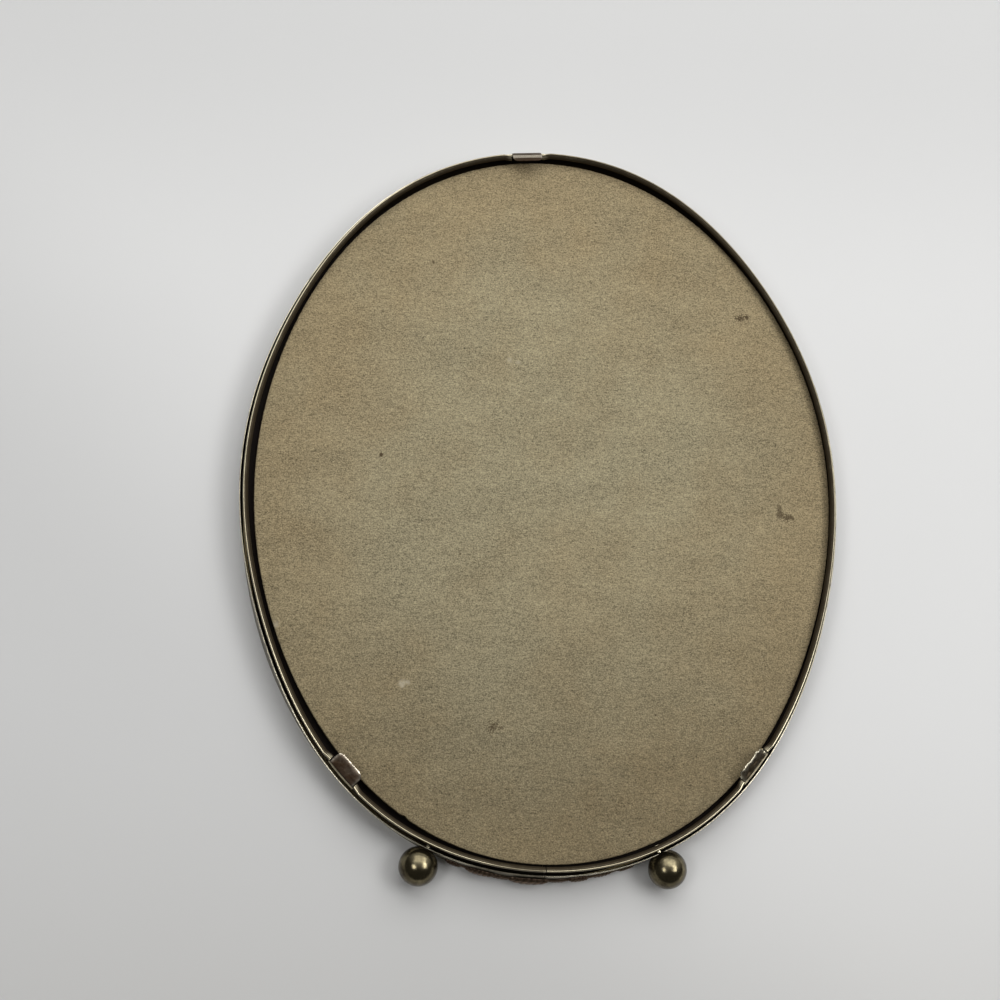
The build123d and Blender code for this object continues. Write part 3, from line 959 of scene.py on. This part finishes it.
def addWire(work, outline, wire, sides=6):
    # a closed round wire along an outline that lies flat, half sunk in the plate
    count = len(outline)
    rings = []
    for index in range(count):
        nearby = (outline[(index + step) % count] for step in (-1, 0, 1))
        before, here, after = (Vector(spot) for spot in nearby)
        heading = (after - before).normalized()
        square = Vector((heading.y, -heading.x))
        ring = []
        for step in range(sides):
            angle = fullTurn * step / sides
            spot = here + square * wire * math.cos(angle)
            ring.append(work.verts.new((spot.x * mm, spot.y * mm, wire * math.sin(angle) * mm)))
        rings.append(ring)
    for index in range(count):
        first, second = rings[index], rings[(index + 1) % count]
        for step in range(sides):
            after = (step + 1) % sides
            work.faces.new((first[step], first[after], second[after], second[step]))


def addDome(work, x, y, radius, tall):
    made = bmesh.ops.create_icosphere(work, subdivisions=2, radius=1.0)
    size = Matrix.Diagonal((radius * mm, radius * mm, tall * mm, 1))
    moved = Matrix.Translation((x * mm, y * mm, 0)) @ size
    bmesh.ops.transform(work, matrix=moved, verts=made["verts"])


def makeMotif(pitch, field):
    # one repeat of the border: wired openings, a flower between them and pearls
    work = bmesh.new()
    length, wire = border["leafLength"] * pitch, border["wire"]
    clear = 2 * wire
    for side in (-1, 1):
        tilt, aside = -side * math.radians(border["leafTilt"]), side * border["leafSpread"] * pitch
        leaf = leafOutline(length + clear, border["leafWidth"] * length + clear)
        addWire(work, [(x * math.cos(tilt) - y * math.sin(tilt) + aside,
                        x * math.sin(tilt) + y * math.cos(tilt)) for x, y in leaf], wire)
        for share, up, radius, tall in border["dots"]:
            addDome(work, side * share * pitch, up, radius, tall)
    drop = leafOutline(*(share * field + clear for share in border["drop"]))
    addWire(work, [(-y + pitch / 2, x) for x, y in drop], wire)
    size, reach = (share * field for share in border["pearl"])
    radius, steps = size / 2 + wire, border["pearlSteps"]
    turns = [fullTurn * step / steps for step in range(steps)]
    addWire(work, [(radius * math.cos(turn), radius * math.sin(turn) - reach) for turn in turns], wire)
    flower = border["flower"]
    for step in range(flower["petals"]):
        angle = fullTurn * step / flower["petals"] + math.pi / 2
        x, y = flower["ring"] * math.cos(angle), flower["up"] + flower["ring"] * math.sin(angle)
        addDome(work, x, y, *flower["petal"])
    addDome(work, 0, flower["up"], *flower["heart"])
    bmesh.ops.recalc_face_normals(work, faces=work.faces)
    mesh = bpy.data.meshes.new("galleryMotif")
    work.to_mesh(mesh)
    work.free()
    return addObject("galleryMotif", mesh)


def makePlate():
    # the border's pierced field is set back, so that its margins and the ornament stand proud
    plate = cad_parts["front_border"].data.copy()
    work = bmesh.new()
    work.from_mesh(plate)
    bmesh.ops.remove_doubles(work, verts=work.verts, dist=1e-6)
    for vert in work.verts:
        # shares of the way to the field's two ovals
        outer, inner = (
            math.hypot(vert.co.x / ((oval["halfWidth"] + out) * mm),
                       (vert.co.y - oval["middle"] * mm) / ((oval["halfHeight"] + out) * mm))
            for out in (border["outside"], border["inside"]))
        if vert.co.z < 1e-5 and outer < 0.9985 and inner > 1.0015:
            vert.co.z = border["setBack"] * mm
    work.to_mesh(plate)
    work.free()
    smoothAll(plate)
    plate.materials.clear()
    plate.materials.append(finishes["gilt"])
    piece = addObject("borderPlate", plate)
    creaseAt(piece, 25)
    setDull(piece, 0.0, 0.75)
    place(piece, "root", "gilt_brass", "front_border")


def makeOrnament():
    field = border["outside"] - border["inside"] - border["sheet"]
    middle = (border["outside"] + border["inside"] + border["sheet"]) / 2
    a, b = oval["halfWidth"] + middle, oval["halfHeight"] + middle
    around = math.pi * (3 * (a + b) - math.sqrt((3 * a + b) * (a + 3 * b)))  # an oval's length
    motif = makeMotif(around / border["repeats"], field)
    growth = Growth("borderOrnament", **{
        "Half Width": a * mm, "Half Height": b * mm, "Count": border["repeats"], "Motif": motif})
    even, follow = growth.evenOval(border["setBack"])
    shape = {"Object": growth.input("Motif")}
    shape = growth.node("GeometryNodeObjectInfo", shape, out="Geometry")
    row = growth.node("GeometryNodeInstanceOnPoints", {
        "Points": even, "Instance": shape, "Rotation": follow})
    ornament = growth.grow(row, finishes["gilt"])
    setDull(ornament, 0.45, 0.2)
    bpy.data.objects.remove(motif)
    place(ornament, "root", "gilt_brass")
    count, size = border["edgePearls"], border["edgePearlSize"]
    for name, margin in (("outerPearls", "outside"), ("innerPearls", "inside")):
        out = border[margin] + border[name]
        pearls = makePearlRow(name, out, border["setBack"], count, size, size)
        place(pearls, "root", "gilt_brass")


makeSightBead()
makePlate()
makeOrnament()
for nodeName in ("foot_screw_left", "foot_screw_right"):
    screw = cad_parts[nodeName]
    screw.data.materials.clear()
    screw.data.materials.append(finishes["rim"])
print("front made")


studio = {
    "floor": (0.785, 0.785, 0.78), "floorShaded": (0.725, 0.715, 0.69), "half": 3.0, "drop": 0.0002,
    # painted shade on the floor: darker towards the bottom, aslant towards the lower left and past the
    # frame's top: from where to where in metres, and how much
    "near": (-0.30, -0.06), "nearShade": 0.89, "soft": 0.03,
    "slant": (0.75, 0.8, 0), "slantFrom": (-0.15, -0.02), "slantShade": (0.88, 0.14),
    "topFrom": (0.07, 0.19), "topShade": 0.10,
    # the room: dark behind the camera, bright towards the picture's top
    "roomDark": (0.04, 0.038, 0.034), "roomBright": (0.56, 0.56, 0.555),
    "toward": (0.20, 0.72, 0.66), "brightFrom": (0.35, 1.0),
    "lamps": [  # place, aim, size, watts
        ((0.56, -0.05, 0.83), (0, 0, 0), (0.50, 0.36), 2.4),
        ((-0.49, -0.19, 0.875), (0, 0, 0), (0.34, 0.26), 1.5),
        ((0.10, 0.45, 0.70), (0.02, 0.06, 0), (1.20, 0.70), 4.3),
    ],
}


def floorFinish():
    paint = Finish("whiteTable", Roughness=0.6, Specular_IOR_Level=0.3)
    # painted shade: the floor is darker towards the bottom, the lower left and past the frame's top
    upDown = paint.node("ShaderNodeSeparateXYZ", {0: paint.here}, out="Y")
    near = upDown.rise(*studio["near"])
    slant = paint.vector("DOT_PRODUCT", paint.here, studio["slant"], out="Value")
    slantLow, slantMore = studio["slantShade"]
    paintedShade = studio["nearShade"] + near * (1 - studio["nearShade"])
    paintedShade = paintedShade + (paint.noise(9.0, 3, 0.55) - 0.5) * studio["soft"]
    paintedShade = paintedShade * (slantLow + slant.rise(*studio["slantFrom"]) * slantMore)
    paintedShade = paintedShade * (1.0 - upDown.rise(*studio["topFrom"]) * studio["topShade"])
    shadedWhite = paint.mix(near, studio["floorShaded"], studio["floor"])
    return paint.feed(Base_Color=paint.brighten(shadedWhite, paintedShade))


def addFloor():
    mesh, half = bpy.data.meshes.new("floor"), studio["half"]
    corners = [(-half, -half, 0), (half, -half, 0), (half, half, 0), (-half, half, 0)]
    mesh.from_pydata(corners, [], [(0, 1, 2, 3)])
    mesh.materials.append(floorFinish())
    floor = addObject("floor", mesh)
    floor.location.z = -studio["drop"]


def addLamps():
    for index, (spot, aim, size, watts) in enumerate(studio["lamps"]):
        lamp = bpy.data.lights.new(f"lamp{index}", "AREA")
        lamp.shape, lamp.size, lamp.size_y, lamp.energy = "RECTANGLE", size[0], size[1], watts
        holder = addObject(f"lamp{index}", lamp)
        holder.location = spot
        holder.rotation_euler = (Vector(aim) - Vector(spot)).to_track_quat("-Z", "Y").to_euler()


def addRoom():
    world = bpy.data.worlds.new("room")
    bpy.context.scene.world = world
    world.use_nodes = True
    room = NodeBench(world.node_tree)
    way = room.node("ShaderNodeTexCoord", out="Generated")
    facing = room.vector("DOT_PRODUCT", way, studio["toward"], out="Value")
    bright = facing.rise(*studio["brightFrom"])
    sky = room.mix(bright, studio["roomDark"], studio["roomBright"])
    background = world.node_tree.nodes["Background"]
    world.node_tree.links.new(sky.socket, background.inputs["Color"])
    bpy.context.scene.view_settings.view_transform = "Standard"


addFloor()
addLamps()
addRoom()
print("studio ready")
